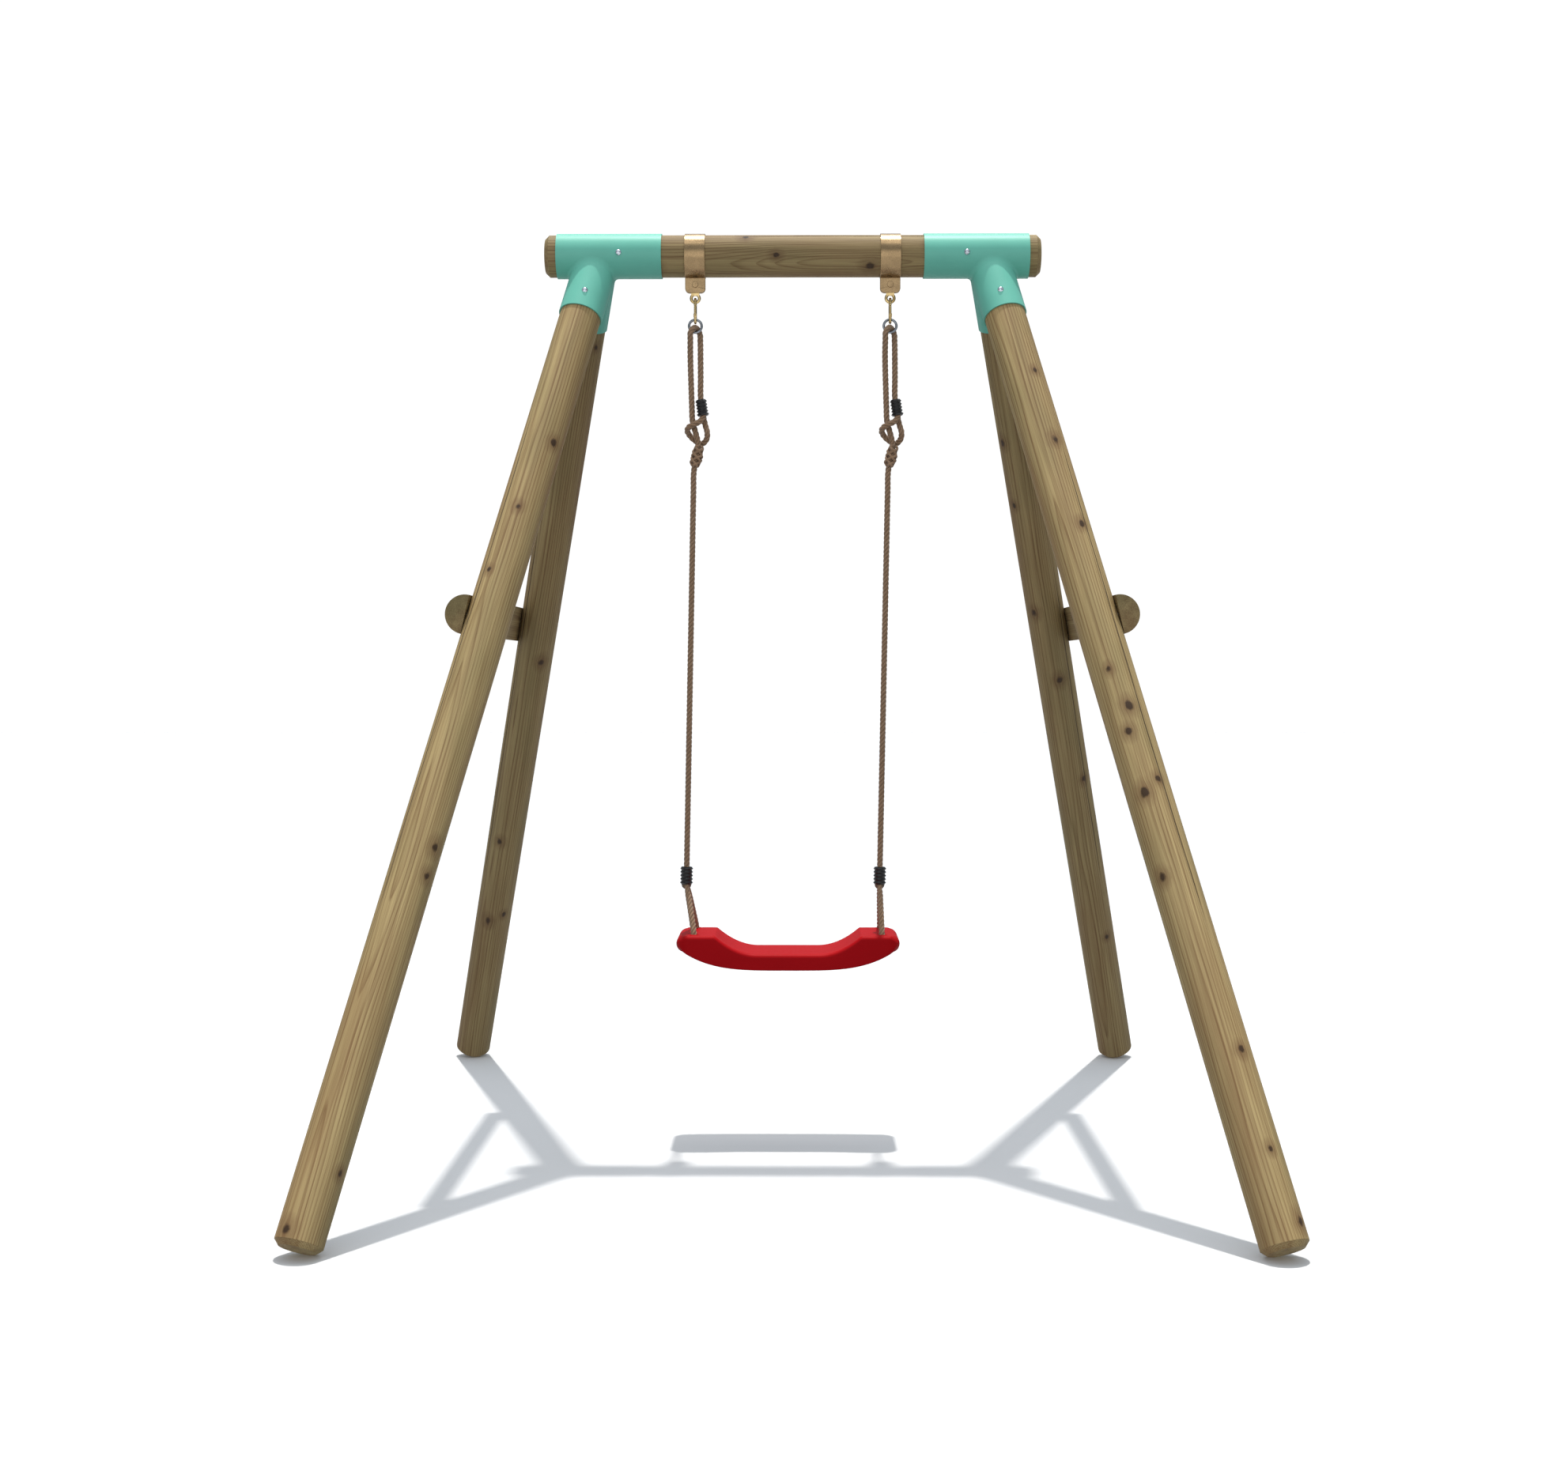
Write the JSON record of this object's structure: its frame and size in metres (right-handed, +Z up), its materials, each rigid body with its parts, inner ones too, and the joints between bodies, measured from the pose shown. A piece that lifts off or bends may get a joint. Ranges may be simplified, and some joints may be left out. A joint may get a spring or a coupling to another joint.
{
  "type": "swing set",
  "caption": "Garden swing: splayed round-timber legs and beam joined by teal steel brackets, with a moulded seat hung on ropes from snap hooks.",
  "frame": {"origin": "on the ground, under the middle of the beam", "axes": "+X along the beam, to the right as seen from the front; +Y to the rear; +Z up"},
  "size_m": [1.6338, 1.8414, 1.7931],
  "materials": {
    "timber": "pressure-treated round pine, satin",
    "split_timber": "sawn half-round pine",
    "bracket": "teal powder coat, satin",
    "zinc": "bright zinc-plated steel",
    "yellow_zinc": "yellow passivated zinc-plated steel",
    "rope": "laid hemp-coloured polypropylene rope",
    "crimp": "black moulded plastic",
    "seat": "red moulded polyethylene"
  },
  "bodies": {
    "frame": {"crossbeam": "timber", "left_bracket": "bracket", "right_bracket": "bracket", "front_left_leg": "timber", "rear_left_leg": "timber", "front_right_leg": "timber", "rear_right_leg": "timber", "left_cross_brace": "split_timber", "left_bracket_screws": "zinc", "left_brace_screws": "zinc", "left_strap": "yellow_zinc", "left_strap_bolt": "zinc", "left_strap_nut": "zinc", "left_eye": "yellow_zinc", "right_cross_brace": "split_timber", "right_bracket_screws": "zinc", "right_brace_screws": "zinc", "right_strap": "yellow_zinc", "right_strap_bolt": "zinc", "right_strap_nut": "zinc", "right_eye": "yellow_zinc"},
    "left_hook": {"left_hook": "yellow_zinc", "left_gate_pin": "zinc"},
    "left_gate": {"left_gate": "yellow_zinc"},
    "right_hook": {"right_hook": "yellow_zinc", "right_gate_pin": "zinc"},
    "right_gate": {"right_gate": "yellow_zinc"},
    "left_rope": {"left_ring": "zinc", "left_rope": "rope", "left_knot": "rope", "left_upper_sleeve": "crimp", "left_lower_sleeve": "crimp"},
    "right_rope": {"right_ring": "zinc", "right_rope": "rope", "right_knot": "rope", "right_upper_sleeve": "crimp", "right_lower_sleeve": "crimp", "right_loop_bundle": "rope"},
    "left_loop_bundle": {"left_loop_bundle": "rope"},
    "seat": {"seat": "seat", "left_seat_loop": "rope", "right_seat_loop": "rope"}
  },
  "joints": [
    {"name": "left_swing", "type": "hinge", "parent": "frame", "child": "left_hook", "pos_m": [-0.1925, 0, 1.65886], "axis": [1, 0, 0], "range_deg": [-60, 60]},
    {"name": "left_sway", "type": "hinge", "parent": "left_hook", "child": "left_rope", "pos_m": [-0.1925, 0, 1.61881], "axis": [0, 1, 0], "range_deg": [-8, 8]},
    {"name": "left_gate_press", "type": "hinge", "parent": "left_hook", "child": "left_gate", "pos_m": [-0.1925, -0.009, 1.63236], "axis": [1, 0, 0], "range_deg": [-25, 0], "stiffness_Nm_per_rad": 0.05, "springref_deg": 11.46},
    {"name": "right_swing", "type": "hinge", "parent": "frame", "child": "right_hook", "pos_m": [0.1925, 0, 1.65886], "axis": [1, 0, 0], "range_deg": [-60, 60]},
    {"name": "right_sway", "type": "hinge", "parent": "right_hook", "child": "right_rope", "pos_m": [0.1925, 0, 1.61881], "axis": [0, 1, 0], "range_deg": [-8, 8]},
    {"name": "right_gate_press", "type": "hinge", "parent": "right_hook", "child": "right_gate", "pos_m": [0.1925, -0.009, 1.63236], "axis": [1, 0, 0], "range_deg": [-25, 0], "stiffness_Nm_per_rad": 0.05, "springref_deg": 11.46},
    {"name": "seat_level", "type": "hinge", "parent": "left_rope", "child": "left_loop_bundle", "pos_m": [-0.21176, 0, 0.50532], "axis": [0, 1, 0], "range_deg": [-8, 8]},
    {"name": "seat_pitch", "type": "hinge", "parent": "left_loop_bundle", "child": "seat", "pos_m": [-0.21176, 0, 0.50532], "axis": [1, 0, 0], "range_deg": [-14, 14]}
  ],
  "couplings": [
    {"joint": "right_swing", "follows": "left_swing", "ratio": 1},
    {"joint": "right_sway", "follows": "left_sway", "ratio": 1},
    {"joint": "seat_level", "follows": "left_sway", "ratio": -1}
  ]
}
